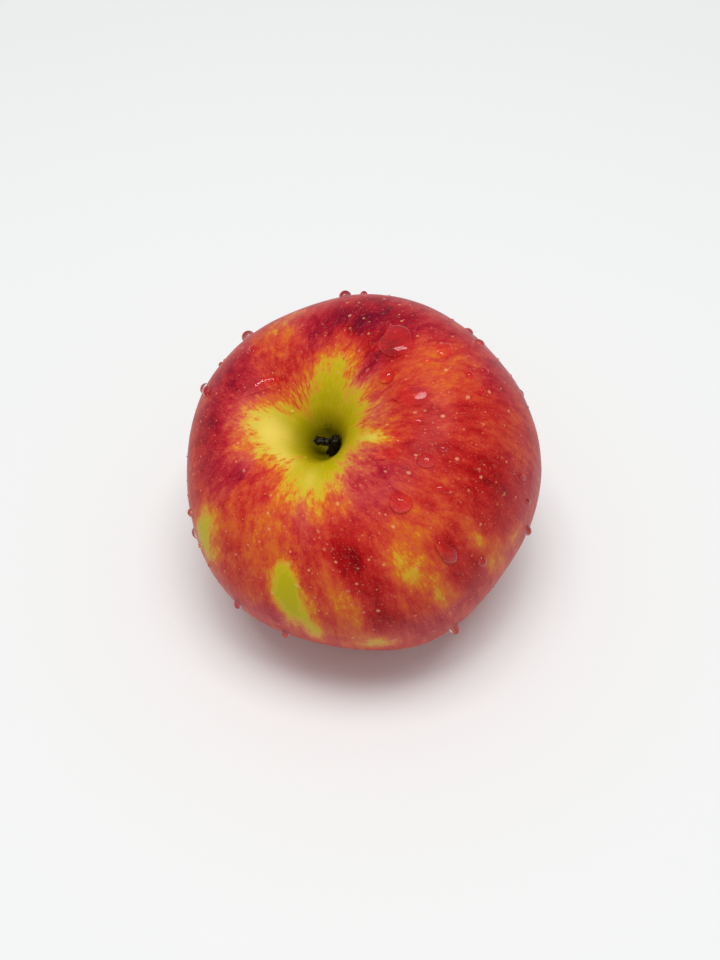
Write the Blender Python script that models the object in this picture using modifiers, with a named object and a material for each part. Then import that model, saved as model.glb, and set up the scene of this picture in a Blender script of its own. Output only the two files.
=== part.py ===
"""A lopsided eating apple that stands on the five lobes of its calyx end.

Every shape is first made in the growth frame: its Z axis is the straight line that the young apple
grew along, and Z is 0 at the widest level. grown() then carries a point to where the ripe apple has
it: the five lobes swell, the stem cavity slides off centre, and the whole fruit bends over sideways.
At the end the fruit is worn flat where it rests, and an empty sets everything on the ground with the
origin under the middle of the fruit's box.
"""

import math

import bmesh
import bpy
from mathutils import Quaternion, Vector
from mathutils.geometry import interpolate_bezier

MM = 0.001

# ---- the fruit, in the growth frame ----
HALF_HEIGHT = 34 * MM  # from the widest level to the rim at either end
ROUND_STEPS = 64  # faces around the fruit
ROWS_PER_SPAN = 2  # rows of faces between two points of the outline
SOCKET_RADIUS = 1.7 * MM  # the hole that the stem's foot fills
SOCKET_FLOOR = 13.4 * MM
BASIN_FLOOR = -26.8 * MM

# Half outline in millimetres, (radius, height): from the edge of the stem's socket up the cavity's
# wall, over the shoulder, down the flank, and round the calyx end to the middle of its basin.
OUTLINE_MM = (
    (1.7, 15.8),
    (2.9, 17.6),
    (4.3, 21.0),
    (6.6, 25.0),
    (10.2, 28.6),
    (15.0, 31.2),
    (20.5, 32.2),
    (27.0, 30.4),
    (33.4, 24.8),
    (38.0, 15.5),
    (40.0, 4.0),
    (39.2, -8.0),
    (35.4, -19.0),
    (28.6, -28.0),
    (21.0, -33.2),
    (15.4, -34.2),
    (10.8, -32.2),
    (7.4, -29.2),
    (4.0, -27.4),
    (0.0, -26.8),
)

# ---- how it ripened unevenly ----
LOBES = 5
LOBE_CREST = 2  # degrees from +X to the crest of one lobe
LOBE_SHARE = 0.012  # of the radius, at the flank and the shoulder
LOBE_SHARE_BASE = 0.04  # at the calyx end
LOBES_DEEPEN = (0.1, -1.0)  # levels, in half heights, between which the share grows to the base's
LOBE_DROP = 0.9 * MM  # how far the lobes reach below the dips between them
LOBES_DROP = (-0.55, -0.95)  # levels between which that drop comes in
UNEVEN = {1: (0.020, 197), 2: (0.012, 13), 3: (0.009, 23)}  # waves round: (share, crest in degrees)
SWELLING_WHOLE = 16 * MM  # the swellings grow from the axis, and are whole outside this radius
CAVITY_SLIDE = Vector((-5.3, 0)) * MM  # the cavity lies this far off centre
SLIDE_FADES = (4 * MM, 36 * MM)  # radii where the slide is still whole, and where it is gone
LEAN = math.radians(24)  # from the base to the shoulder
LEAN_TOWARDS = math.radians(-135)  # compass direction, anticlockwise from +X
WORN_FLAT = 0.35 * MM  # how much of each lobe's tip is flat where it rests

# ---- the small pieces ----
GAP = 0.35 * MM  # between pieces that touch
TUBE_SIDES = 14

# The stem's tapered tubes, each a list of (place, radius) in millimetres above the socket's floor.
STUB = (
    ((0, 0, 0.35), 1.3),
    ((0, 0, 2.4), 1.25),
    ((0.1, 0.1, 4.6), 1.1),
    ((0.3, 0.3, 6.6), 1.2),
    ((0.5, 0.5, 8.2), 0.75),
)
ARM = (
    ((0.4, 0.2, 4.9), 0.6),
    ((-0.9, 0.4, 6.2), 0.95),
    ((-2.2, 0.4, 7.1), 0.9),
    ((-3.5, 0.3, 7.9), 1.1),
)
SPUR = (
    ((0.0, 0.1, 3.4), 0.5),
    ((1.2, 0.4, 4.6), 0.8),
    ((2.0, 0.6, 6.2), 0.5),
)
SEPALS = 5
SEPAL_ROWS = 8
SEPAL_LENGTH = 6.4 * MM
SEPAL_WIDTH = 3 * MM
SEPAL_ROOT_SHARE = 0.6  # of the width, where the sepal is attached
SEPAL_WIDEST = 0.35  # of the way to the tip
SEPAL_TAPER = 0.85
SEPAL_CURL = 4 * MM  # how far out the tip bends
SEPAL_CUP = 0.35 * MM  # how far the edges curl inwards
SEPAL_THICKNESS = 0.5 * MM
SEPAL_RING = 2.8 * MM  # radius at which the sepals' roots stand
SEPAL_SET_DOWN = 0.9 * MM  # from the middle of the basin down to the roots
TUFT_RADIUS = 1.2 * MM
TUFT_TIP_SHARE = 0.55  # of the radius, at the tuft's tip
TUFT_LENGTH = 3.6 * MM
TUFT_FOLDS = 10
TUFT_FOLD_SHARE = 0.16  # of the radius


# ---- ripening: from the growth frame to the ripe fruit ----
def eased(x, start=0.0, end=1.0):
    """0 before the start, 1 past the end, and a smooth rise between."""
    x = min(max((x - start) / (end - start), 0.0), 1.0)
    return x * x * (3 - 2 * x)


def wave(angle, waves, crest_degrees):
    return math.cos(waves * (angle - math.radians(crest_degrees)))


def swelling(x, y, z):
    """The factor on the radius, and the drop, that the lobes and uneven growth give at a point."""
    level = z / HALF_HEIGHT
    angle = math.atan2(y, x)
    present = eased(math.hypot(x, y), 0, SWELLING_WHOLE)
    at_base = eased(level, *LOBES_DEEPEN)
    lobe = wave(angle, LOBES, LOBE_CREST)
    share = lobe * (LOBE_SHARE + (LOBE_SHARE_BASE - LOBE_SHARE) * at_base)
    for waves, (uneven_share, crest) in UNEVEN.items():
        share += uneven_share * wave(angle, waves, crest)
    drop = LOBE_DROP * eased(level, *LOBES_DROP) * (1 + lobe) / 2
    return 1 + share * present, drop * present


def slide(x, y, z):
    """How far the off-centre cavity carries a point sideways."""
    faded = eased(math.hypot(x, y), *SLIDE_FADES)
    return CAVITY_SLIDE * (1 - faded) * eased(z, 0, SOCKET_FLOOR)


def turn_at(z):
    """How far the growth axis has tipped over at a height."""
    return LEAN * (z + HALF_HEIGHT) / (2 * HALF_HEIGHT)


def bent(x, y, z):
    """Curls the growth axis into an arc that starts upright at the base."""
    ux, uy = math.cos(LEAN_TOWARDS), math.sin(LEAN_TOWARDS)
    along, across = x * ux + y * uy, y * ux - x * uy
    arc_radius = 2 * HALF_HEIGHT / LEAN
    turn = turn_at(z)
    reach = arc_radius * (1 - math.cos(turn)) + along * math.cos(turn)
    height = arc_radius * math.sin(turn) - along * math.sin(turn)
    return Vector((reach * ux - across * uy, reach * uy + across * ux, height))


def grown(point):
    """Carries a point of the growth frame to its place in the ripe fruit."""
    x, y, z = point
    factor, drop = swelling(x, y, z)
    aside = slide(x, y, z)
    return bent(x * factor + aside.x, y * factor + aside.y, z - drop)


# ---- scene helpers ----
def clear_scene():
    for obj in list(bpy.data.objects):
        bpy.data.objects.remove(obj)


def new_material(name, colour, roughness):
    material = bpy.data.materials.new(name)
    material.use_nodes = True
    shader = material.node_tree.nodes["Principled BSDF"]
    shader.inputs["Base Color"].default_value = (*colour, 1.0)
    shader.inputs["Roughness"].default_value = roughness
    shader.inputs["Metallic"].default_value = 0.0
    return material


def new_object(name, data, parent, material=None):
    obj = bpy.data.objects.new(name, data)
    collection.objects.link(obj)
    obj.parent = parent
    if material:
        data.materials.clear()
        data.materials.append(material)
    return obj


def evaluated_mesh(obj):
    """The mesh that an object's modifiers make."""
    graph = bpy.context.evaluated_depsgraph_get()
    return bpy.data.meshes.new_from_object(obj.evaluated_get(graph))


def growth_empty(name, height):
    """An empty on the growth axis at that height, with its Z along the axis there."""
    empty = new_object(name, None, ground)
    empty.location = grown((0, 0, height))
    sideways = Vector((-math.sin(LEAN_TOWARDS), math.cos(LEAN_TOWARDS), 0))
    empty.rotation_mode = "QUATERNION"
    empty.rotation_quaternion = Quaternion(sideways, turn_at(height))
    return empty


# ---- the fruit ----
def smooth_outline(points, per_span):
    """A curve through the points: each span's handles lie along the line between its neighbours."""
    ends = (points[1] - points[0], Vector((-1, 0)))
    inner = [after - before for before, after in zip(points, points[2:])]
    headings = [heading.normalized() for heading in (ends[0], *inner, ends[1])]
    curve = []
    for i, (a, b) in enumerate(zip(points, points[1:])):
        reach = (b - a).length / 3
        handles = a + headings[i] * reach, b - headings[i + 1] * reach
        curve += interpolate_bezier(a, *handles, b, per_span + 1)[:-1]
    return [*curve, points[-1]]


def turned(name, outline):
    """An object that turns an outline of (radius, height) points about Z."""
    mesh = bpy.data.meshes.new(name)
    points = [(radius, 0, height) for radius, height in outline]
    mesh.from_pydata(points, [(i, i + 1) for i in range(len(points) - 1)], [])
    obj = new_object(name, mesh, ground)
    screw = obj.modifiers.new("turn", "SCREW")
    screw.steps = screw.render_steps = ROUND_STEPS
    screw.use_merge_vertices = True
    screw.merge_threshold = 0.01 * MM
    screw.use_normal_calculate = True
    return obj


def make_fruit(material):
    """Flesh and skin in one piece, with the stem's socket at the bottom of the cavity."""
    socket = [Vector((0, SOCKET_FLOOR)), Vector((SOCKET_RADIUS, SOCKET_FLOOR))]
    flesh = smooth_outline([Vector(p) * MM for p in OUTLINE_MM], ROWS_PER_SPAN)
    fruit = turned("fruit", [tuple(p.xy) for p in socket + flesh])
    mesh = evaluated_mesh(fruit)
    for vertex in mesh.vertices:
        vertex.co = grown(vertex.co)
    lowest = min(vertex.co.z for vertex in mesh.vertices)
    for vertex in mesh.vertices:
        vertex.co.z = max(vertex.co.z, lowest + WORN_FLAT)
    fruit.modifiers.clear()
    fruit.data = mesh
    mesh.materials.append(material)
    mesh.shade_smooth()
    mesh.set_sharp_from_angle(angle=math.radians(60))
    return fruit


# ---- the stem ----
def tapered_tube(name, points, parent, material):
    """A capped tube through points of (place, radius) in millimetres."""
    mesh = bpy.data.meshes.new(name)
    shape = bmesh.new()
    places = [Vector(place) * MM for place, _ in points]
    rings = []
    for i, (place, (_, radius)) in enumerate(zip(places, points)):
        heading = places[min(i + 1, len(places) - 1)] - places[max(i - 1, 0)]
        turn = Vector((0, 0, 1)).rotation_difference(heading)
        ring = []
        for step in range(TUBE_SIDES):
            angle = math.tau * step / TUBE_SIDES
            rim = Vector((math.cos(angle), math.sin(angle), 0)) * radius * MM
            ring.append(shape.verts.new(place + turn @ rim))
        rings.append(ring)
    for low, high in zip(rings, rings[1:]):
        for i in range(TUBE_SIDES):
            j = (i + 1) % TUBE_SIDES
            shape.faces.new((low[i], low[j], high[j], high[i]))
    shape.faces.new(reversed(rings[0]))
    shape.faces.new(rings[-1])
    shape.to_mesh(mesh)
    shape.free()
    mesh.shade_smooth()
    mesh.set_sharp_from_angle(angle=math.radians(50))
    return new_object(name, mesh, parent, material)


def make_stem(material):
    """The stub that is left where the stalk snapped, with a torn arm and a spur beside it."""
    root = growth_empty("stem_root", SOCKET_FLOOR)
    stem = tapered_tube("stem", STUB, root, material)
    for name, points in (("stem_arm", ARM), ("stem_spur", SPUR)):
        branch = tapered_tube(name, points, root, material)
        collection.objects.unlink(branch)
        cutters.objects.link(branch)
        branch.hide_render = True
        branch.display_type = "WIRE"
        join = stem.modifiers.new(name, "BOOLEAN")
        join.operation = "UNION"
        join.solver = "EXACT"
        join.object = branch


# ---- the calyx ----
def sepal_mesh():
    """One dry sepal: a cupped, pointed leaf that rises along its local Z and curls outwards."""
    mesh = bpy.data.meshes.new("sepal")
    shape = bmesh.new()
    rows = []
    for row in range(SEPAL_ROWS + 1):
        along = row / SEPAL_ROWS
        widening = SEPAL_ROOT_SHARE + (1 - SEPAL_ROOT_SHARE) * eased(along, 0, SEPAL_WIDEST)
        half_width = SEPAL_WIDTH / 2 * widening * (1 - SEPAL_TAPER * along**2)
        curl = SEPAL_CURL * (0.25 * along + 0.75 * along**3)
        height = SEPAL_LENGTH * along * (1 - 0.3 * along)
        line = []
        for side in (-1, -0.5, 0, 0.5, 1):
            place = (curl - SEPAL_CUP * side**2, side * half_width, height)
            line.append(shape.verts.new(place))
        rows.append(line)
    for low, high in zip(rows, rows[1:]):
        for i in range(len(low) - 1):
            shape.faces.new((low[i], low[i + 1], high[i + 1], high[i]))
    shape.to_mesh(mesh)
    shape.free()
    mesh.shade_smooth()
    return mesh


def make_calyx(material):
    """Five dry sepals round the tuft of withered stamens, in the basin under the fruit."""
    root = growth_empty("calyx_root", BASIN_FLOOR)
    mesh = sepal_mesh()
    for number in range(SEPALS):
        angle = math.tau * (number + 0.5) / SEPALS + math.radians(LOBE_CREST)
        sepal = new_object(f"sepal_{number + 1}", mesh, root, material)
        ring = Vector((math.cos(angle), math.sin(angle))) * SEPAL_RING
        sepal.location = (*ring, -SEPAL_SET_DOWN)
        sepal.rotation_euler = (math.pi, 0, angle)
        thickness = sepal.modifiers.new("thickness", "SOLIDIFY")
        thickness.thickness = SEPAL_THICKNESS
        thickness.offset = 0


def make_tuft(material):
    """The withered stamens, twisted into one dry tuft."""
    root = bpy.data.objects["calyx_root"]
    mesh = bpy.data.meshes.new("stamen_tuft")
    shape = bmesh.new()
    bmesh.ops.create_cone(
        shape,
        cap_ends=True,
        cap_tris=True,
        segments=2 * TUFT_FOLDS,
        radius1=TUFT_RADIUS,
        radius2=TUFT_RADIUS * TUFT_TIP_SHARE,
        depth=TUFT_LENGTH,
    )
    for vertex in shape.verts:
        angle = math.atan2(vertex.co.y, vertex.co.x)
        vertex.co.xy *= 1 + TUFT_FOLD_SHARE * math.cos(TUFT_FOLDS * angle)
    shape.to_mesh(mesh)
    shape.free()
    tuft = new_object("stamen_tuft", mesh, root, material)
    tuft.location = (0, 0, -GAP - TUFT_LENGTH / 2)
    tuft.rotation_euler = (math.pi, 0, 0)


clear_scene()
collection = bpy.data.collections.new("apple")
bpy.context.scene.collection.children.link(collection)
cutters = bpy.data.collections.new("cutters")
cutters.hide_render = True
bpy.context.scene.collection.children.link(cutters)
ground = bpy.data.objects.new("ground", None)
collection.objects.link(ground)

skin = new_material("red_skin", (0.52, 0.06, 0.04), 0.3)
wood = new_material("dark_stem", (0.03, 0.02, 0.012), 0.5)
dry_leaf = new_material("dry_calyx", (0.16, 0.1, 0.05), 0.85)

fruit = make_fruit(skin)
make_stem(wood)
make_calyx(dry_leaf)
make_tuft(dry_leaf)

corners = [Vector(corner) for corner in fruit.bound_box]
middle = (corners[0] + corners[6]) / 2
ground.location = (-middle.x, -middle.y, -corners[0].z)
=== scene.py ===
# %% [markdown]
# # A wet red apple
# This lesson dresses a plain solid apple until it looks like one that was just rinsed: a skin with a
# yellow ground, a red flush and pale pores, a snapped black stem deep in its cavity, dry sepals
# underneath, and water standing on it in beads and puddles. It starts by loading the solids, which
# fix the size and the place of everything that follows.

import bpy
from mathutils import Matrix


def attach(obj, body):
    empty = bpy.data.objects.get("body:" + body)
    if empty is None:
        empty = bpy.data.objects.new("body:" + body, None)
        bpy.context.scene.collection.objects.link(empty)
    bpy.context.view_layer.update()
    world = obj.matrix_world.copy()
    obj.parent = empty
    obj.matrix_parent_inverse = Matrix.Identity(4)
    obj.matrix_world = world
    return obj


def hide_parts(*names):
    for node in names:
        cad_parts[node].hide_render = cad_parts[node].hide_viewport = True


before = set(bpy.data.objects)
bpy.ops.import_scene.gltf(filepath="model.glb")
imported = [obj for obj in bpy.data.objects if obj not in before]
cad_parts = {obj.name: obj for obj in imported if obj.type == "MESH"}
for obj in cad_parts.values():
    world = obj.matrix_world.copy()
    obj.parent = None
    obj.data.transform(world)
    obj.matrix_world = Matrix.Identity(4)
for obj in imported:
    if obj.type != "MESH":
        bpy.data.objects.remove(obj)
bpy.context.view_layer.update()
print("solids:", ", ".join(sorted(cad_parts)))

# %% Libraries
import math
import random

import bmesh
import bpy
import numpy as np
from mathutils import Quaternion, Vector, noise

MM = 0.001
print("one unit is a metre, so 1 mm is", MM)

# %% [markdown]
# ## Two ways to name a point on the skin
# A person who describes an apple says how far round the stem a mark lies, and how far down from the
# stem. So does this script: `around` is a compass angle in degrees about the growth axis, and `along`
# is the distance in millimetres over the skin from the stem. The outline below is half of the apple
# cut through the middle. It could be a spline that Blender turns with a Screw modifier, but then each
# point would forget its own `around` and `along`, and the colours need them. So the rings are
# computed, and both numbers are kept on the mesh.

# %% The outline of the young apple, from the stem to the calyx, in millimetres
OUTLINE = np.array([
    (1.7, 15.8), (2.9, 17.6), (4.3, 21.0), (6.6, 25.0), (10.2, 28.6), (15.0, 31.2), (20.5, 32.2),
    (27.0, 30.4), (33.4, 24.8), (38.0, 15.5), (40.0, 4.0), (39.2, -8.0), (35.4, -19.0), (28.6, -28.0),
    (21.0, -33.2), (15.4, -34.2), (10.8, -32.2), (7.4, -29.2), (4.0, -27.4), (0.0, -26.8),
])  # fmt: skip


def smooth_outline(points, per_span):
    """The outline as a dense curve that passes through each point."""
    inner = points[2:] - points[:-2]
    headings = np.vstack([points[1] - points[0], inner, (-1, 0)])
    headings /= np.linalg.norm(headings, axis=1)[:, None]
    t = np.arange(per_span)[:, None] / per_span
    curve = []
    for i in range(len(points) - 1):
        a, b = points[i], points[i + 1]
        reach = np.linalg.norm(b - a) / 3
        c, d = a + headings[i] * reach, b - headings[i + 1] * reach
        curve.append((1 - t) ** 3 * a + 3 * (1 - t) ** 2 * t * c + 3 * (1 - t) * t**2 * d + t**3 * b)
    return np.vstack([*curve, points[-1:]])


dense = smooth_outline(OUTLINE, 40)
steps = np.linalg.norm(np.diff(dense, axis=0), axis=1)
dense_along = np.concatenate([[0], np.cumsum(steps)])
SKIN_LENGTH = dense_along[-1]
print(f"the skin is {SKIN_LENGTH:.1f} mm long from the stem to the calyx")

# %% [markdown]
# ## How an apple grows crooked
# No apple is a turned shape. Five lobes swell round the calyx, slow and fast sides bulge, the stem
# cavity slides off the middle, and the whole fruit leans as it hangs. Each of these is one small
# formula here, and `ripe` applies them in turn. The numbers are those of the solid.

# %% How much it grew unevenly, in millimetres, shares of the radius, and degrees
HALF_HEIGHT = 34
LOBES, LOBE_CREST = 5, 2
LOBE_SHARE, EXTRA_AT_BASE = 0.012, 0.028
LOBES_DEEPEN, LOBES_DROP = (0.1, -1.0), (-0.55, -0.95)
LOBE_DROP = 0.9
SWELLING_WHOLE = 16
UNEVEN = {1: (0.020, 197), 2: (0.012, 13), 3: (0.009, 23)}
CAVITY_SLIDE = 5.3
SLIDE_FADES = (4, 36)
SOCKET_FLOOR = 13.4
LEAN, LEAN_TOWARDS = math.radians(24), math.radians(-135)
WORN_FLAT = 0.35
print(f"{LOBES} lobes, leaning {math.degrees(LEAN):.0f} degrees")

# %% The growth formulas


def eased(x, start=0.0, end=1.0):
    x = np.clip((x - start) / (end - start), 0, 1)
    return x * x * (3 - 2 * x)


def wave(angle, waves, crest):
    return np.cos(waves * (angle - math.radians(crest)))


def swollen(x, y, z):
    """The lobes at the calyx end, and the fast and slow sides."""
    level, angle = z / HALF_HEIGHT, np.arctan2(y, x)
    present = eased(np.hypot(x, y), 0, SWELLING_WHOLE)
    lobe = wave(angle, LOBES, LOBE_CREST)
    share = lobe * (LOBE_SHARE + EXTRA_AT_BASE * eased(level, *LOBES_DEEPEN))
    for waves, (uneven_share, crest) in UNEVEN.items():
        share = share + uneven_share * wave(angle, waves, crest)
    drop = LOBE_DROP * eased(level, *LOBES_DROP) * (1 + lobe) / 2 * present
    factor = 1 + share * present
    return x * factor, y * factor, z - drop


def ripe(around, radius, height):
    """The place in the ripe apple of points given by angle (radians), radius and height (mm)."""
    x, y = radius * np.cos(around), radius * np.sin(around)
    x, y, z = swollen(x, y, height + 0 * x)
    x = x - CAVITY_SLIDE * (1 - eased(radius, *SLIDE_FADES)) * eased(height, 0, SOCKET_FLOOR)
    lean_x, lean_y = math.cos(LEAN_TOWARDS), math.sin(LEAN_TOWARDS)
    forward, sideways = x * lean_x + y * lean_y, y * lean_x - x * lean_y
    arc = 2 * HALF_HEIGHT / LEAN
    turn = LEAN * (z + HALF_HEIGHT) / (2 * HALF_HEIGHT)
    reach = arc * (1 - np.cos(turn)) + forward * np.cos(turn)
    rise = arc * np.sin(turn) - forward * np.sin(turn)
    return np.stack([reach * lean_x - sideways * lean_y, reach * lean_y + sideways * lean_x, rise], -1)


def on_skin(around, along):
    """The place on the skin, in millimetres, before the apple is set on the ground."""
    radius = np.interp(along, dense_along, dense[:, 0])
    height = np.interp(along, dense_along, dense[:, 1])
    return ripe(around, radius, height)


fine_around, fine_along = np.meshgrid(np.radians(np.arange(0, 360, 2)), np.arange(0, SKIN_LENGTH, 1))
rough = on_skin(fine_around, fine_along).reshape(-1, 3)
low, high = rough.min(0), rough.max(0)
SET_DOWN = np.array([-(low[0] + high[0]) / 2, -(low[1] + high[1]) / 2, -low[2] - WORN_FLAT])
print("moved by", SET_DOWN.round(2), "mm to stand on the ground")


def skin_point(around, along):
    """The place on the skin of the apple as it stands, in millimetres."""
    place = on_skin(around, along) + SET_DOWN
    place[..., 2] = np.maximum(place[..., 2], 0)
    return place


def skin_frame(around, along):
    """At a point of the skin: its place, and unit vectors round, down the skin and outwards."""
    place = skin_point(around, along)
    round_it = skin_point(around + 0.01, along) - skin_point(around - 0.01, along)
    down = skin_point(around, along + 0.2) - skin_point(around, along - 0.2)
    round_it /= np.linalg.norm(round_it, axis=-1, keepdims=True)
    down /= np.linalg.norm(down, axis=-1, keepdims=True)
    out = np.cross(down, round_it)
    return place, round_it, down, out / np.linalg.norm(out, axis=-1, keepdims=True)


# %% [markdown]
# ## Where the sun coloured it
# The skin starts yellow-green. Sun and cold nights add the red flush: first orange, then red, then a
# wine red. It never reaches the bottom of the cavity, and it leaves patches bare. Painting all that
# by noise alone gives a different apple every time, so the big patches are listed one by one, as a grower
# would point them out: how far round, how far along, how wide, how long, and how much more or less
# flush. Fine streaks and speckles come later, in the material.

# %% The edge of the flush round the cavity: (around, along)
FLUSH_EDGE = (
    (0, 14.5), (20, 16), (42, 17), (65, 19.5), (85, 17), (100, 13), (115, 10), (130, 11), (145, 15.5),
    (160, 19.5), (190, 19.5), (203, 16.5), (218, 11), (232, 12.5), (248, 18), (270, 21.5), (284, 19),
    (298, 15), (320, 13.5), (333, 15), (341, 20), (348, 16),
)  # fmt: skip

# %% Patches of more or less flush: (around, along, half width, half length, amount)
FLUSH_PATCHES = (
    (209, 48, 8, 10, -0.52), (246, 44, 5, 7, -0.5), (249, 52, 5.5, 10, -0.5), (255, 62, 4, 7, -0.4),
    (268, 53, 4, 10, -0.3), (273, 69, 7, 5, -0.45), (294, 44, 8, 6, -0.28), (297, 55, 4, 7, -0.3),
    (317, 50, 3, 6, -0.28), (318, 61, 4, 5, -0.28), (329, 63, 5, 4, -0.2), (234, 50, 5, 10, -0.12),
    (262, 44, 5, 8, -0.15), (288, 38, 8, 5, -0.14), (305, 37, 12, 4, -0.12), (110, 34, 8, 6, -0.25),
    (122, 30, 6, 6, -0.12), (18, 34, 14, 6, -0.14), (230, 36, 14, 9, -0.1), (243, 25, 12, 9, -0.17),
    (350, 46, 6, 5, -0.16), (228, 17, 12, 5, -0.1), (75, 21, 12, 4, -0.08), (30, 31, 8, 4, -0.1),
    (275, 37, 8, 7, 0.3), (277, 54, 4, 9, 0.26), (336, 43, 8, 8, 0.22), (333, 54, 6, 6, 0.12),
    (46, 26, 13, 3.5, 0.3), (70, 29, 12, 4, 0.26), (88, 29, 12, 5, 0.16), (174, 35, 9, 6, 0.2),
    (205, 26, 5, 6, 0.14), (42, 21, 6, 3, 0.24), (150, 31, 12, 7, 0.14), (60, 34, 16, 4, 0.2),
    (338, 28, 12, 4, 0.12), (310, 52, 6, 10, 0.1), (358, 36, 6, 8, 0.1), (196, 34, 8, 5, 0.1),
    (95, 60, 22, 14, -0.35), (150, 72, 14, 16, -0.4), (40, 72, 16, 12, -0.22), (185, 64, 10, 10, 0.15),
    (120, 84, 16, 10, 0.2), (70, 50, 12, 12, 0.18), (15, 66, 12, 12, 0.12), (225, 80, 16, 8, -0.2),
)  # fmt: skip

# %% Patches where the red turns to rose and wine, one of them partly a painted highlight: the same five numbers
ROSE_AND_SHEEN_PATCHES = (
    (42, 21, 8, 4, 1.0), (58, 34, 18, 6, 0.9), (92, 31, 14, 7, 0.8), (146, 31, 15, 8, 0.95),
    (172, 29, 12, 8, 0.6), (203, 29, 9, 8, 0.8), (190, 34, 7, 6, 0.6), (311, 20, 22, 7, 1.0),
    # (311, 20, 22, 7, 1.0) is partly painted highlight: the broad pinkish sheen of the lamps beside the
    # cavity, painted as rose.
    (8, 19, 16, 3.5, 0.6), (18, 45, 14, 8, 0.6), (345, 58, 15, 9, 0.6), (238, 60, 13, 6, 0.7),
    (292, 67, 26, 8, 0.55), (257, 27, 6, 6, 0.6), (50, 42, 20, 6, 0.7), (300, 26, 14, 5, 0.4),
    (100, 40, 30, 8, 0.5), (75, 66, 18, 12, 0.6), (160, 56, 12, 12, 0.5), (10, 84, 20, 10, 0.4),
)  # fmt: skip


def patchwork(patches, around, along):
    """The sum of soft patches at each point."""
    total = np.zeros(np.broadcast(around, along).shape)
    for centre, distance, half_width, half_length, amount in patches:
        apart = (np.degrees(around) - centre + 180) % 360 - 180
        far = (apart / half_width) ** 2 + ((along - distance) / half_length) ** 2
        total = total + amount * np.exp(-0.9 * far)
    return total


FULL_FLUSH = 0.62
EDGE_BEFORE, EDGE_AFTER = 7, 12
CALYX_FADE, CALYX_FADES = 0.3, (104, 122)


def flush_at(around, along):
    """0 on the bare yellow ground, 1 where the red is deepest."""
    angles, edges = np.array(FLUSH_EDGE).T
    edge = np.interp(np.degrees(around) % 360, angles, edges, period=360)
    begun = FULL_FLUSH * eased(along, edge - EDGE_BEFORE, edge + EDGE_AFTER)
    at_calyx = CALYX_FADE * eased(along, *CALYX_FADES)
    return begun + patchwork(FLUSH_PATCHES, around, along) * eased(along, edge - 5, edge) - at_calyx


def rose_and_sheen_at(around, along):
    return np.clip(patchwork(ROSE_AND_SHEEN_PATCHES, around, along), 0, 1)


def mellow_at(around, along):
    """0 where the ground is green, 1 where it has turned to cream yellow."""
    spots = ((175, 15, 22, 5, 1.0), (215, 14, 20, 3, 0.8), (341, 20, 6, 4, 0.7), (262, 17, 10, 4, 0.4))
    return np.clip(patchwork(spots, around, along), 0, 1)


# %% [markdown]
# ## The skin as a mesh
# The skin is built ring by ring from the stem to the calyx, fine enough that neither its edge nor its
# highlights show a facet. A little noise moves it in and out by a tenth of a millimetre, so that
# reflections wobble as they do on a real apple. The paint layers are stored on its points, and so is
# the distance from the stem. The layer called cloth gives patterns a space of their own, in which they
# are drawn out along the apple near the stem, where the skin grew mostly lengthways.

# %% Helpers that build closed meshes
POINTS_AROUND, RINGS = 384, 236


def add_piece(name, mesh, material):
    """Puts a mesh in the scene, riding with the fruit."""
    piece = bpy.data.objects.new(name, mesh)
    bpy.context.scene.collection.objects.link(piece)
    mesh.materials.append(material)
    mesh.shade_smooth()
    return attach(piece, "root")


def ring_mesh(name, rings, top, bottom):
    """A closed mesh from rings of points, with a point to close it at either end."""
    count = rings.shape[1]
    points = np.vstack([rings.reshape(-1, 3), top, bottom])
    j = np.arange(count)
    k = (j + 1) % count
    start = np.arange(len(rings) - 1)[:, None] * count
    quads = np.stack([start + j, start + count + j, start + count + k, start + k], -1).reshape(-1, 4)
    first, last = rings.shape[0] * count, (rings.shape[0] - 1) * count
    top_fan = np.stack([j, k, first + 0 * j], -1)
    bottom_fan = np.stack([first + 1 + 0 * j, last + k, last + j], -1)
    mesh = bpy.data.meshes.new(name)
    mesh.from_pydata((points * MM).tolist(), [], quads.tolist() + top_fan.tolist() + bottom_fan.tolist())
    mesh.update()
    return mesh


print("the skin will have", POINTS_AROUND * RINGS, "points")

# %% Build the skin
SLOW_WAVES, QUICK_WAVES = (9, 0.16), (3.1, 0.035)  # noise: (size, height), in millimetres
UNEVEN_ABOVE = (0.05, 1.5)  # heights between which the unevenness comes in, so that the rest spots stay flat
around = np.radians(np.arange(POINTS_AROUND) * 360 / POINTS_AROUND)[None, :]
along = np.linspace(0, SKIN_LENGTH - 0.25, RINGS)[:, None]
grid, _, _, outwards = skin_frame(around, along + 0 * around)
unevenness = np.array([
    sum(noise.noise(Vector(p) / size) * height for size, height in (SLOW_WAVES, QUICK_WAVES))
    for p in grid.reshape(-1, 3)
]).reshape(grid.shape[:2])
resting = eased(grid[..., 2], *UNEVEN_ABOVE)
grid = grid + outwards * (unevenness * resting)[..., None]
grid[..., 2] = np.maximum(grid[..., 2], 0)
BELOW_SOCKET_RIM = 0.5
foot_height = np.array(OUTLINE[0][1] - BELOW_SOCKET_RIM)
stem_foot = ripe(np.array(0.0), np.array(0.0), foot_height) + SET_DOWN
calyx_floor = skin_point(np.array(0.0), np.array(SKIN_LENGTH))
skin_mesh = ring_mesh("apple_skin", grid, stem_foot, calyx_floor)


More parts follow.
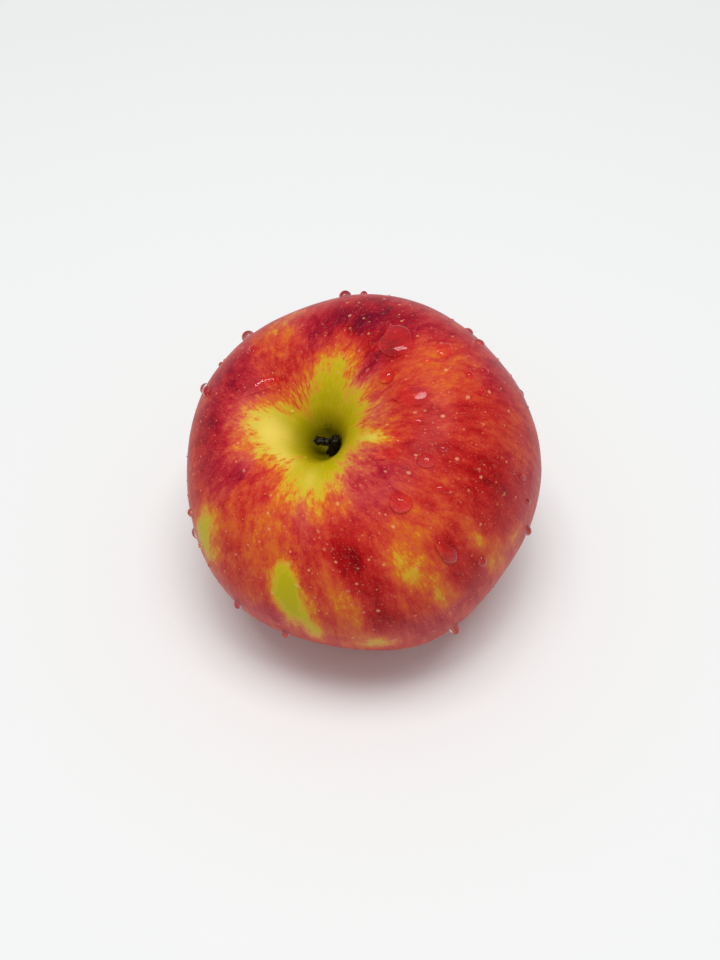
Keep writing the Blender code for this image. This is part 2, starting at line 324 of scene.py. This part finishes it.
# %% Store the paint layers on the skin
radius = np.interp(along, dense_along, dense[:, 0])
spread = 13 + 0.68 * radius
steps_along = 0.5 + 0.5 * eased(along, 12, 46)
lengthways = np.cumsum(steps_along, axis=0) * (along[1] - along[0])
cloth = np.stack([np.cos(around) * spread, np.sin(around) * spread, lengthways + 0 * around], -1)
layers = {
    "flush": flush_at(around, along),
    "rose_and_sheen": rose_and_sheen_at(around, along),
    "mellow": mellow_at(around, along),
    "from_stem": along + 0 * around,
}
for name, values in layers.items():
    layer = skin_mesh.attributes.new(name, "FLOAT", "POINT")
    values = np.append(values.ravel(), [values[0, 0], values[-1, 0]])
    layer.data.foreach_set("value", values.astype(np.float32))
layer = skin_mesh.attributes.new("cloth", "FLOAT_VECTOR", "POINT")
values = np.vstack([cloth.reshape(-1, 3), (0, 0, 0), (0, 0, lengthways[-1, 0])])
layer.data.foreach_set("vector", values.astype(np.float32).ravel())
print("skin:", len(skin_mesh.vertices), "points; flush", layers["flush"].min().round(2), "to",
      layers["flush"].max().round(2))  # fmt: skip

# %% [markdown]
# ## Helpers for materials
# A material is a graph of nodes. Two small helpers keep the graphs readable: one adds a node with its
# inputs, and one adds a ramp of colours. Colours are written as they would be picked on a screen, and
# turned into the linear values that Blender works with.


# %% Node helpers
def linear(red, green, blue):
    """A screen colour, 0 to 255, as linear values."""
    values = [c / 255 for c in (red, green, blue)]
    return tuple(c / 12.92 if c <= 0.04045 else ((c + 0.055) / 1.055) ** 2.4 for c in values)


def add_node(tree, kind, inputs=None, **settings):
    """A node with its settings; an input is a number, a colour or another node's output."""
    made = tree.nodes.new("ShaderNode" + kind)
    for name, value in settings.items():
        setattr(made, name, value)
    for name, value in (inputs or {}).items():
        if isinstance(value, bpy.types.NodeSocket):
            tree.links.new(value, made.inputs[name])
        else:
            made.inputs[name].default_value = value
    return made


def math_node(tree, operation, a, b=0.0, c=0.0):
    return add_node(tree, "Math", {0: a, 1: b, 2: c}, operation=operation).outputs[0]


def ramp(tree, factor, stops):
    """A colour ramp with stops of (place, screen colour)."""
    made = add_node(tree, "ValToRGB", {"Fac": factor})
    elements = made.color_ramp.elements
    while len(elements) < len(stops):
        elements.new(0.5)
    for element, (place, colour) in zip(elements, stops):
        element.position = place
        element.color = (*linear(*colour), 1)
    return made.outputs["Color"]


def mix(tree, factor, a, b, blend="MIX"):
    """Blends two colours."""
    a, b = ((*v, 1) if isinstance(v, tuple) and len(v) == 3 else v for v in (a, b))
    made = add_node(tree, "Mix", {0: factor, 6: a, 7: b}, data_type="RGBA", blend_type=blend)
    return made.outputs[2]


def between(tree, value, low, high, to_low=0.0, to_high=1.0, smooth=True):
    """Maps a value from one range to another, and stops at its ends."""
    kind = "SMOOTHSTEP" if smooth else "LINEAR"
    inputs = {0: value, 1: low, 2: high, 3: to_low, 4: to_high}
    return add_node(tree, "MapRange", inputs, interpolation_type=kind, clamp=True).outputs[0]


def new_material(name):
    material = bpy.data.materials.new(name)
    material.use_nodes = True
    return material, material.node_tree, material.node_tree.nodes["Principled BSDF"]


print("helpers ready; mid red is", [round(c, 3) for c in linear(180, 30, 30)])

# %% [markdown]
# ## The material of the skin
# The flush layer from the mesh is broken up by streaks that run from stem to calyx, by blotches a few
# millimetres wide, and by a fine speckle. The sum picks a colour from two ramps, one warm and one
# rose; one rose patch is partly a painted highlight, the pinkish sheen beside the cavity. Towards the
# bottom of the cavity the colour turns dark olive, partly its own colour and partly painted shade.
# Pores come last: pale dots under a millimetre wide, of many sizes, with fine pale pinkish speckles
# between them on the red. Where water stands, the red is deepened, as on any wet surface.

# %% Skin material
skin_material, tree, shader = new_material("waxy_skin")


def layer_of(name, kind="Fac"):
    return add_node(tree, "Attribute", attribute_name=name).outputs[kind]


def stretched(scale_around, scale_along, offset=0.0):
    """The cloth coordinates, scaled so that patterns lie along the apple's meridians."""
    inputs = {"Vector": layer_of("cloth", "Vector"), "Scale": (scale_around, scale_around, scale_along)}
    inputs["Location"] = (offset, offset, offset)
    return add_node(tree, "Mapping", inputs).outputs[0]


def noise_of(vector, scale, detail=2.0, roughness=0.5, distortion=0.0):
    inputs = {"Vector": vector, "Scale": scale, "Detail": detail, "Roughness": roughness}
    inputs["Distortion"] = distortion
    return math_node(tree, "SUBTRACT", add_node(tree, "TexNoise", inputs).outputs["Fac"], 0.5)


broad_streaks = noise_of(stretched(1, 0.12), 0.42, 3, 0.6)
fine_streaks = noise_of(stretched(1, 0.07, 7), 1.7, 3, 0.65)
blotches = noise_of(stretched(1, 0.6, 3), 0.22, 4, 0.6, 0.6)
speckle = noise_of(stretched(1, 0.55, 11), 1.15, 4, 0.7)
grain = noise_of(stretched(1, 0.4, 5), 4.5, 2, 0.6)
rays = noise_of(stretched(1, 0.03, 17), 0.9, 3, 0.6)
distance_along = layer_of("from_stem")
near_stem = between(tree, distance_along, 36.0, 15.0, 0.0, 0.6)

started = between(tree, layer_of("flush"), -0.15, 0.15)
broken = math_node(tree, "MULTIPLY", broad_streaks, 0.6)
broken = math_node(tree, "MULTIPLY_ADD", fine_streaks, 0.3, broken)
broken = math_node(tree, "MULTIPLY_ADD", blotches, 0.44, broken)
broken = math_node(tree, "MULTIPLY_ADD", speckle, 0.27, broken)
broken = math_node(tree, "MULTIPLY_ADD", rays, near_stem, broken)
broken = math_node(tree, "MULTIPLY_ADD", grain, 0.1, broken)
flush = math_node(tree, "MULTIPLY_ADD", broken, started, layer_of("flush"))

WARM = (
    (0.0, (184, 170, 12)), (0.1, (198, 176, 30)), (0.24, (212, 152, 40)), (0.36, (210, 104, 34)),
    (0.5, (202, 72, 42)), (0.64, (188, 40, 34)), (0.8, (168, 14, 18)), (1.0, (126, 3, 12)),
)  # fmt: skip
ROSE_AND_SHEEN_COLOURS = (
    (0.0, (184, 170, 12)), (0.1, (202, 174, 44)), (0.24, (212, 138, 62)), (0.36, (206, 100, 66)),
    (0.5, (194, 66, 60)), (0.64, (178, 36, 48)), (0.8, (152, 14, 38)), (1.0, (108, 4, 34)),
)  # fmt: skip
# The rose layer picks the rose ramp; it also carries the painted pinkish sheen beside the cavity.
rose_and_sheen_amount = math_node(tree, "MULTIPLY_ADD", blotches, 0.9, layer_of("rose_and_sheen"))
colour = mix(tree, between(tree, rose_and_sheen_amount, 0.04, 0.68), ramp(tree, flush, WARM), ramp(tree, flush, ROSE_AND_SHEEN_COLOURS))

cream = math_node(tree, "MULTIPLY", layer_of("mellow"), between(tree, flush, 0.34, 0.1))
colour = mix(tree, cream, colour, linear(230, 206, 92))

# Towards the bottom of the cavity the colour turns dark olive: partly the cavity's own olive ground, partly
# painted shade in the hollow.
cavity_olive_and_shade = between(tree, distance_along, 12.0, 1.0)
colour = mix(tree, math_node(tree, "MULTIPLY", cavity_olive_and_shade, 0.85), colour, linear(104, 92, 0))



def pore_marks(cells_per_mm, smallest, largest, share, offset):
    """Round marks of many sizes: cells of a Voronoi pattern, each with its own size, some left empty."""
    vector = stretched(1, 1, offset)
    cells = add_node(tree, "TexVoronoi", {"Vector": vector, "Scale": cells_per_mm, "Randomness": 1.0})
    parts = add_node(tree, "SeparateColor", {0: cells.outputs["Color"]})
    size = between(tree, parts.outputs[0], 0.0, 1.0, smallest, largest, smooth=False)
    gap = math_node(tree, "DIVIDE", cells.outputs["Distance"], size)
    kept = between(tree, parts.outputs[1], 1 - share, 1 - share * 0.4)
    return math_node(tree, "MULTIPLY", between(tree, gap, 1.1, 0.65), kept)


shown = between(tree, distance_along, 8.0, 15.0)
large_pores = math_node(tree, "MULTIPLY", pore_marks(0.4, 0.08, 0.2, 0.85, 0), shown)
small_pores = math_node(tree, "MULTIPLY", pore_marks(0.75, 0.1, 0.2, 0.85, 31), shown)
colour = mix(tree, math_node(tree, "MULTIPLY", large_pores, 0.64), colour, linear(226, 160, 114))
colour = mix(tree, math_node(tree, "MULTIPLY", small_pores, 0.46), colour, linear(222, 150, 100))
# Fine pale pinkish speckles over the red, between the pores.
pale_pink_speckle = between(tree, math_node(tree, "MULTIPLY_ADD", speckle, 0.8, grain), 0.06, 0.26, 0.0, 0.34)
pale_pink_speckle = math_node(tree, "MULTIPLY", pale_pink_speckle, between(tree, flush, 0.3, 0.55))
colour = mix(tree, pale_pink_speckle, colour, linear(228, 128, 104))
pore_mark = math_node(tree, "MAXIMUM", large_pores, small_pores)
red_enough = between(tree, flush, 0.1, 0.6, 0.0, 0.9)
wetness = math_node(tree, "MULTIPLY", layer_of("wet"), red_enough)
colour = mix(tree, wetness, colour, (0.88, 0.27, 0.36), "MULTIPLY")

tree.links.new(colour, shader.inputs["Base Color"])
wax = noise_of(stretched(1, 0.8, 9), 0.9, 3, 0.6)
tree.links.new(math_node(tree, "MULTIPLY_ADD", wax, 0.2, 0.36), shader.inputs["Roughness"])
relief = math_node(tree, "MULTIPLY_ADD", pore_mark, 0.6, math_node(tree, "MULTIPLY", speckle, 0.8))
relief = math_node(tree, "MULTIPLY_ADD", grain, 0.3, relief)
bump = add_node(tree, "Bump", {"Height": relief, "Strength": 0.25, "Distance": 0.1 * MM})
tree.links.new(bump.outputs["Normal"], shader.inputs["Normal"])
shader.inputs["Specular IOR Level"].default_value = 0.06

skin = add_piece("apple_skin", skin_mesh, skin_material)
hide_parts("fruit")
print("skin material:", len(tree.nodes), "nodes")

# %% [markdown]
# ## The snapped stem
# The stalk broke off inside the cavity, and damp has turned the stub black. It stands a little to one
# side, with a torn arm that points away. A smooth tube with a dark colour would read as wire, so each
# tube here is built ring by ring with grooves along it, and its open end is drawn out into splinters
# of unlike length. The splinters are paler, because the wood inside is.


# %% Grooved wood from a middle line
def growth_frame(height):
    """The place of the growth axis at a height, and the turn that it has there."""
    origin = Vector(ripe(np.array(0.0), np.array(0.0), np.array(float(height))) + SET_DOWN)
    sideways = Vector((-math.sin(LEAN_TOWARDS), math.cos(LEAN_TOWARDS), 0))
    return origin, Quaternion(sideways, LEAN * (height + HALF_HEIGHT) / (2 * HALF_HEIGHT))


def grooved_tube(points, sides=36, rows=30, grooves=7, depth=0.12, seed=0):
    """Rings of a tube through points of (place, radius), with grooves that wander along it."""
    places = np.array([place for place, _ in points], dtype=float)
    radii = np.array([radius for _, radius in points])
    knots = np.linspace(0, 1, len(points))
    t = np.linspace(0, 1, rows)
    middle = np.stack([np.interp(t, knots, places[:, i]) for i in range(3)], -1)
    for _ in range(4):
        middle[1:-1] = (middle[:-2] + 2 * middle[1:-1] + middle[2:]) / 4
    girths = np.interp(t, knots, radii)
    rings = []
    for row, (place, girth) in enumerate(zip(middle, girths)):
        heading = Vector(middle[min(row + 1, rows - 1)] - middle[max(row - 1, 0)])
        turn = Vector((0, 0, 1)).rotation_difference(heading)
        ring = []
        for step in range(sides):
            angle = math.tau * step / sides
            groove = math.cos(grooves * angle + seed + 1.5 * t[row])
            groove += 0.6 * math.cos((grooves + 4) * angle - seed - 2 * t[row])
            lump = noise.noise(Vector((math.cos(angle), math.sin(angle), t[row] * 4 + seed)) * 1.3)
            reach = girth * (1 + depth * groove + 0.35 * lump)
            rim = turn @ Vector((math.cos(angle) * reach, math.sin(angle) * reach, 0))
            if row == rows - 1:
                rim += heading.normalized() * girth * 0.5 * noise.noise(Vector((angle * 2, seed, 3)))
            ring.append(Vector(place) + rim)
        rings.append(ring)
    return np.array(rings)


def splinters(tip, heading, spread, count, length, seed):
    """Thin wooden needles that stand out of a torn end."""
    dice = random.Random(seed)
    heading = Vector(heading).normalized()
    needles = []
    for _ in range(count):
        aside = Vector([dice.uniform(-1, 1) for _ in range(3)]) * spread
        lean = (heading + Vector([dice.uniform(-0.4, 0.4) for _ in range(3)])).normalized()
        start = Vector(tip) + aside - heading * 0.3
        reach = length * dice.uniform(0.5, 1.2)
        end, middle = start + lean * reach, start + lean * reach * 0.5
        needles.append(grooved_tube([(start, 0.16), (middle, 0.12), (end, 0.03)], 8, 6, 2, 0.1, seed))
    return needles


# %% Build the stem
STUB = (((0, 0, 0.3), 1.35), ((0.9, 0, 2.4), 1.25), ((1.8, 0.1, 4.6), 1.15), ((2.3, 0.2, 6.6), 1.2),
        ((2.5, 0.4, 7.7), 0.95))  # fmt: skip
ARM = (((1.8, 0.1, 5.3), 0.75), ((0.6, 0.3, 6.3), 0.85), ((-0.6, 0.4, 7.1), 0.8),
       ((-1.7, 0.3, 7.7), 0.85))  # fmt: skip
SPUR = (((1.4, -0.5, 3.0), 0.5), ((2.6, -0.8, 4.4), 0.6), ((3.1, -0.7, 5.6), 0.35))
pieces = [grooved_tube(STUB, seed=1), grooved_tube(ARM, seed=4), grooved_tube(SPUR, 24, 18, seed=2)]
dark_pieces = len(pieces)
TORN_ENDS = (
    ((2.5, 0.4, 7.6), (0.1, 0.1, 1), 0.6, 9, 1.3, 5), ((-1.7, 0.3, 7.7), (-1, 0, 0.5), 0.55, 10, 0.9, 6),
    ((3.1, -0.7, 5.6), (0.5, 0, 1), 0.25, 4, 0.8, 7),
)  # fmt: skip
for torn_end in TORN_ENDS:
    pieces += splinters(*torn_end)
foot, tilt = growth_frame(SOCKET_FLOOR)
bark = bmesh.new()
pale = bark.verts.layers.float.new("pale")
for number, rings in enumerate(pieces):
    rows = []
    for row, ring in enumerate(rings):
        share = row / (len(rings) - 1)
        points = [bark.verts.new((foot + tilt @ Vector(p)) * MM) for p in ring]
        for point in points:
            point[pale] = max(0.0, share - 0.85) * 2 if number < dark_pieces else 0.1 + 0.4 * share
        rows.append(points)
    for upper, lower in zip(rows, rows[1:]):
        for i in range(len(upper)):
            bark.faces.new((upper[i - 1], upper[i], lower[i], lower[i - 1]))
    bark.faces.new(rows[0][::-1])
    bark.faces.new(rows[-1])
bmesh.ops.recalc_face_normals(bark, faces=bark.faces)
stem_mesh = bpy.data.meshes.new("snapped_stem")
bark.to_mesh(stem_mesh)
bark.free()
print("stem:", len(pieces), "pieces of wood,", len(stem_mesh.vertices), "points")

# %% Stem material
stem_material, tree, shader = new_material("blackened_wood")
texture = add_node(tree, "TexCoord").outputs["Object"]
grain_space = add_node(tree, "Mapping", {"Vector": texture, "Scale": (2600, 2600, 900)}).outputs[0]
wood_grain = noise_of(grain_space, 1.0, 4, 0.65)
depth = between(tree, math_node(tree, "ADD", wood_grain, 0.5), 0.3, 0.75)
dark = ramp(tree, depth, ((0.0, (6, 4, 3)), (0.6, (22, 16, 11)), (1.0, (52, 38, 24))))
torn = between(tree, math_node(tree, "MULTIPLY_ADD", wood_grain, 0.9, layer_of("pale")), 0.35, 0.95)
tree.links.new(mix(tree, torn, dark, linear(164, 136, 66)), shader.inputs["Base Color"])
tree.links.new(between(tree, depth, 0.0, 1.0, 0.2, 0.45), shader.inputs["Roughness"])
shader.inputs["Specular IOR Level"].default_value = 0.3
bump = add_node(tree, "Bump", {"Height": wood_grain, "Strength": 0.6, "Distance": 0.15 * MM})
tree.links.new(bump.outputs["Normal"], shader.inputs["Normal"])
stem = add_piece("snapped_stem", stem_mesh, stem_material)
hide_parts("stem")
print("stem material:", len(tree.nodes), "nodes")

# %% [markdown]
# ## The dry calyx
# Under the apple, the five sepals of the flower and its withered stamens are still there, dry and
# brown. Their solids already have the right shape, so they stay, and only get a finish: papery brown
# with darker veins along each sepal, and a faint downy roughness.

# %% Calyx material
calyx_material, tree, shader = new_material("papery_calyx")
texture = add_node(tree, "TexCoord").outputs["Object"]
vein_space = add_node(tree, "Mapping", {"Vector": texture, "Scale": (1500, 1500, 350)}).outputs[0]
mottle_space = add_node(tree, "Mapping", {"Vector": texture, "Scale": (420, 420, 420)}).outputs[0]
veins, mottle = noise_of(vein_space, 1, 4, 0.6), noise_of(mottle_space, 1, 3, 0.6)
browns = math_node(tree, "ADD", math_node(tree, "MULTIPLY_ADD", veins, 0.7, mottle), 0.5)
browns = ramp(tree, browns, ((0.25, (38, 26, 16)), (0.5, (96, 70, 42)), (0.75, (150, 124, 82))))
tree.links.new(browns, shader.inputs["Base Color"])
tree.links.new(between(tree, mottle, -0.3, 0.3, 0.7, 0.95), shader.inputs["Roughness"])
bump = add_node(tree, "Bump", {"Height": veins, "Strength": 0.7, "Distance": 0.2 * MM})
tree.links.new(bump.outputs["Normal"], shader.inputs["Normal"])
dry_pieces = [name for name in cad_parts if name.startswith("sepal") or name == "stamen_tuft"]
for name in dry_pieces:
    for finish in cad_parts[name].material_slots:
        finish.material = calyx_material
print("dry pieces:", ", ".join(dry_pieces))

# %% [markdown]
# ## Water
# Rinsing leaves beads, which are taller than they look because the wax pushes the water together, and
# flat puddles where two beads have met. A drop could be a squashed sphere, but it would not fit the
# curve of the skin. Here each drop is a small patch of the skin itself, copied twice: once lifted
# into a dome and once sunk a little under the skin, so the two make one closed body of water.


# %% How to make one drop
SUNK = 0.12  # how far the underside lies below the skin, in millimetres
WIDE = 1.5  # drops wider than this get more points


def drop_rings(centre_around, centre_along, width, length, height, tilt=0, lumps=0, flat=1, sag=0):
    """Rings of points of one drop: (rings, points round, 3), from its middle to its edge and under it."""
    count, layers_up = (28, 9) if width > WIDE else (14, 5)
    direction = np.linspace(0, math.tau, count, endpoint=False)[None, :]
    climb = np.linspace(0.06, 1, layers_up)[:, None] * math.pi / 2
    share = np.sin(climb) ** flat
    lift = np.cos(climb)
    wobble = 1 + lumps * (
        np.cos(2 * direction + centre_along) * 0.5
        + np.cos(3 * direction + 2.3 * centre_along) * 0.6
        + np.cos(5 * direction + centre_around) * 0.35
    )
    across = share * wobble * np.cos(direction) * width / 2
    down = share * wobble * np.sin(direction) * length / 2
    c, s = math.cos(math.radians(tilt)), math.sin(math.radians(tilt))
    across, down = across * c - down * s, across * s + down * c
    place_along = centre_along + down
    girth = np.interp(centre_along, dense_along, dense[:, 0])
    place_around = math.radians(centre_around) + across / girth
    place, _, _, out = skin_frame(place_around, place_along)
    top = place + out * (lift * height)[..., None]
    if sag:
        top[..., 2] -= sag * (lift**1.2 + 0 * direction)
    under = (place - out * SUNK)[::-1]
    return np.vstack([top, under])


def drops_mesh(name, drops):
    """One mesh with many closed drops."""
    mesh = bmesh.new()
    for drop in drops:
        rings = drop_rings(*drop)
        verts = [[mesh.verts.new(Vector(p) * MM) for p in ring] for ring in rings.tolist()]
        count = len(verts[0])
        for upper, lower in zip(verts, verts[1:]):
            for i in range(count):
                mesh.faces.new((upper[i], upper[i - 1], lower[i - 1], lower[i]))
        mesh.faces.new(verts[0])
        mesh.faces.new(verts[-1][::-1])
    bmesh.ops.recalc_face_normals(mesh, faces=mesh.faces)
    result = bpy.data.meshes.new(name)
    mesh.to_mesh(result)
    mesh.free()
    return result


# %% The drops: (around, along, width, length, height, tilt, lumps, flatness, sag)
BEADS = (
    (86, 40.0, 2.8, 2.8, 1.5), (79, 41.0, 1.7, 1.7, 0.9), (129, 41.0, 3.0, 3.0, 1.5),
    (130, 31.5, 1.8, 3.0, 0.8, 0, 0.1), (144, 40.5, 1.3, 1.3, 0.6), (156, 39.5, 2.4, 4.2, 1.0, 20, 0.1),
    (64, 22.5, 2.3, 2.3, 0.6), (51, 20.7, 1.4, 1.4, 0.4), (28, 23.4, 3.2, 2.9, 1.1, 0, 0.05),
    (25, 30.7, 1.6, 1.6, 0.6), (16, 40.5, 2.0, 2.2, 0.9), (14, 37.0, 2.0, 1.8, 0.7),
    (38, 46.5, 2.3, 2.3, 1.0), (7, 38.5, 1.8, 1.8, 0.6), (339, 32.4, 2.0, 2.0, 0.9),
    (331, 30.7, 3.2, 3.2, 1.1, 0, 0.06), (307, 31.2, 4.2, 4.2, 1.7, 0, 0.04),
    (314, 56.4, 2.4, 3.0, 1.0), (252, 42.9, 1.9, 2.0, 0.5), (197, 52.0, 2.0, 2.0, 0.9),
    (208, 54.5, 1.6, 1.6, 0.7), (214, 57.0, 1.3, 1.3, 0.6), (344, 53.5, 1.2, 3.0, 0.5),
    (341, 61.0, 1.0, 2.4, 0.4), (134, 12.5, 0.9, 0.9, 0.35), (226, 8.0, 0.7, 1.4, 0.3),
)  # fmt: skip
PUDDLES = (
    (44, 29.2, 8.4, 6.0, 1.0, 20, 0.14, 0.6), (8, 26.0, 4.6, 6.6, 0.85, 12, 0.1, 0.6),
    (352, 26.6, 1.5, 2.6, 0.4, 0, 0.1, 0.7), (28, 34.9, 4.6, 3.4, 0.7, 30, 0.14, 0.7),
    (327, 23.3, 2.6, 6.4, 0.7, -25, 0.08, 0.7), (341, 23.8, 1.5, 4.4, 0.45, 65, 0.1, 0.7),
    (323, 36.3, 1.6, 4.0, 0.45, -20, 0.12, 0.7), (306, 45.6, 3.4, 7.4, 1.1, -8, 0.1, 0.7),
    (138, 21.9, 9.4, 2.7, 0.75, 30, 0.07, 0.6), (82, 5.6, 0.4, 3.6, 0.28, 12, 0.05, 0.8),
    (71, 5.2, 0.45, 4.2, 0.3, 20, 0.05, 0.8),
)  # fmt: skip
HANGING = (
    (227, 63.5, 2.2, 2.4, 1.4, 0, 0, 1, 0.7), (243, 69.5, 2.2, 2.4, 1.2, 0, 0, 1, 0.7),
    (298, 76.5, 2.6, 2.8, 1.7, 0, 0, 1, 1.1), (337, 69.5, 2.2, 2.6, 1.3, 0, 0, 1, 0.8),
)  # fmt: skip


def overlap(one, other):
    """True if two drops would touch."""
    girth = np.interp((one[1] + other[1]) / 2, dense_along, dense[:, 0])
    apart = math.radians((one[0] - other[0] + 180) % 360 - 180) * girth
    return math.hypot(apart, one[1] - other[1]) < (max(one[2:4]) + max(other[2:4])) / 2 + 0.4


def scattered(drops, count, arounds, alongs, sizes, seed):
    """Round beads strewn over a part of the skin, clear of each other and of the drops given."""
    dice = random.Random(seed)
    strewn = []
    while len(strewn) < count:
        size = dice.uniform(*sizes)
        place = dice.uniform(*arounds), dice.uniform(*alongs)
        drop = (*place, size, size * dice.uniform(0.9, 1.2), size * 0.4)
        if not any(overlap(drop, other) for other in drops + tuple(strewn)):
            strewn.append(drop)
    return drops + tuple(strewn)


drops = BEADS + PUDDLES + HANGING
drops = scattered(drops, 130, (-40, 75), (18, 60), (0.25, 0.6), 1)
drops = scattered(drops, 40, (150, 320), (22, 80), (0.3, 0.6), 2)
drops = scattered(drops, 34, (20, 200), (46, 86), (0.8, 3.2), 3)
drops = scattered(drops, 40, (20, 200), (46, 86), (0.3, 0.9), 4)
water_drops = drops_mesh("water_drops", drops)
print("drops:", len(drops), "with", len(water_drops.vertices), "points")

# %% Mark the skin under each drop as wet, because wet skin looks deeper in colour
wet = np.zeros(grid.shape[:2])
for centre, distance, width, length, _height, *shape in drops:
    tilt = math.radians(shape[0] if shape else 0)
    across = ((around - math.radians(centre) + math.pi) % math.tau - math.pi) * radius
    down = along - distance + 0 * around
    straight = across * math.cos(tilt) + down * math.sin(tilt)
    aside = down * math.cos(tilt) - across * math.sin(tilt)
    far = np.hypot(straight / (width / 2), aside / (length / 2))
    wet = np.maximum(wet, eased(1.25 - far, 0, 0.5))
layer = skin_mesh.attributes.new("wet", "FLOAT", "POINT")
layer.data.foreach_set("value", np.append(wet.ravel(), [0, 0]).astype(np.float32))
print("wet share of the skin:", wet.mean().round(3))

# %% [markdown]
# ## Clear water
# Water is a glassy shader that bends light by 1.33. Traced light rarely finds a small lamp through a
# bent surface, so the skin under a drop would come out grey. Where a ray only asks how much lamp light
# gets in, the drop is therefore plain see-through, and darker where that ray grazes it: that is the
# dark rim that a real drop throws on what it stands on.

# %% Water material
water, tree, shader = new_material("rinse_water")
shader.inputs["Base Color"].default_value = (1, 1, 1, 1)
shader.inputs["Roughness"].default_value = 0.02
shader.inputs["IOR"].default_value = 1.33
shader.inputs["Transmission Weight"].default_value = 1.0
facing = add_node(tree, "LayerWeight", {"Blend": 0.5}).outputs["Facing"]
gathered = between(tree, facing, 0.15, 0.75, 1.0, 0.1)
clear = add_node(tree, "BsdfTransparent", {"Color": gathered})
is_shadow = add_node(tree, "LightPath").outputs["Is Shadow Ray"]
let_through = add_node(tree, "MixShader", {0: is_shadow, 1: shader.outputs[0], 2: clear.outputs[0]})
tree.links.new(let_through.outputs[0], tree.nodes["Material Output"].inputs["Surface"])
drops_piece = add_piece("water_drops", water_drops, water)
print("water bends light by an index of", round(shader.inputs["IOR"].default_value, 2))

# %% [markdown]
# ## Floor, light and camera
# The apple stands on plain white paper under two soft lights side by side, almost straight above it,
# with white light from all round. That is how food is often shown: no hard shadow, only the dark
# contact under the fruit, and a pair of small glints in each drop.

# %% Floor
bpy.ops.mesh.primitive_plane_add(size=6)
floor = bpy.context.object
floor.name = "floor"
floor.location.z = -0.02 * MM
floor_material, tree, shader = new_material("white_paper")
shader.inputs["Base Color"].default_value = (0.865, 0.885, 0.88, 1)
shader.inputs["Roughness"].default_value = 0.7
shader.inputs["Specular IOR Level"].default_value = 0.1
floor.data.materials.append(floor_material)
print("floor of", round(floor.dimensions.x, 1), "m")

# %% Light
world = bpy.context.scene.world or bpy.data.worlds.new("World")
bpy.context.scene.world = world
world.use_nodes = True
sky = world.node_tree.nodes["Background"]
sky.inputs["Color"].default_value = (1.0, 1.0, 1.0, 1)
sky.inputs["Strength"].default_value = 0.42


def soft_light(name, place, aim, size, power):
    light = bpy.data.lights.new(name, "AREA")
    light.shape = "SQUARE"
    light.size = size
    light.energy = power
    lamp = bpy.data.objects.new(name, light)
    bpy.context.scene.collection.objects.link(lamp)
    lamp.location = place
    lamp.rotation_euler = (Vector(aim) - Vector(place)).to_track_quat("-Z", "Y").to_euler()
    return lamp


LAMP_SIZE, LAMP_POWER = 0.34, 3.4
MIDDLE_OF_APPLE = (0, 0, 0.03)
for number, sideways in enumerate((-0.15, 0.13)):
    place = (sideways, -0.06, 1.0)
    lamp = soft_light(f"overhead_softbox_{number + 1}", place, MIDDLE_OF_APPLE, LAMP_SIZE, LAMP_POWER)
    lamp.visible_transmission = False  # the water material lets the lamps' light in itself
print("two lamps of", LAMP_POWER, "watts")

# %% Camera
camera = bpy.data.cameras.new("camera")
camera.lens = 45
camera.clip_start = 0.01
view = bpy.data.objects.new("camera", camera)
bpy.context.scene.collection.objects.link(view)
ELEVATION, DISTANCE = math.radians(55), 283.3 * MM
look_at = Vector((-1.07, 3.09, 30.1)) * MM
back = Vector((0, -math.cos(ELEVATION), math.sin(ELEVATION)))
view.location = look_at + back * DISTANCE
view.rotation_euler = back.to_track_quat("Z", "Y").to_euler()
bpy.context.scene.camera = view
bpy.context.scene.view_settings.view_transform = "Standard"
bpy.context.scene.view_settings.look = "None"
print("camera at", [round(c / MM) for c in view.location], "mm")
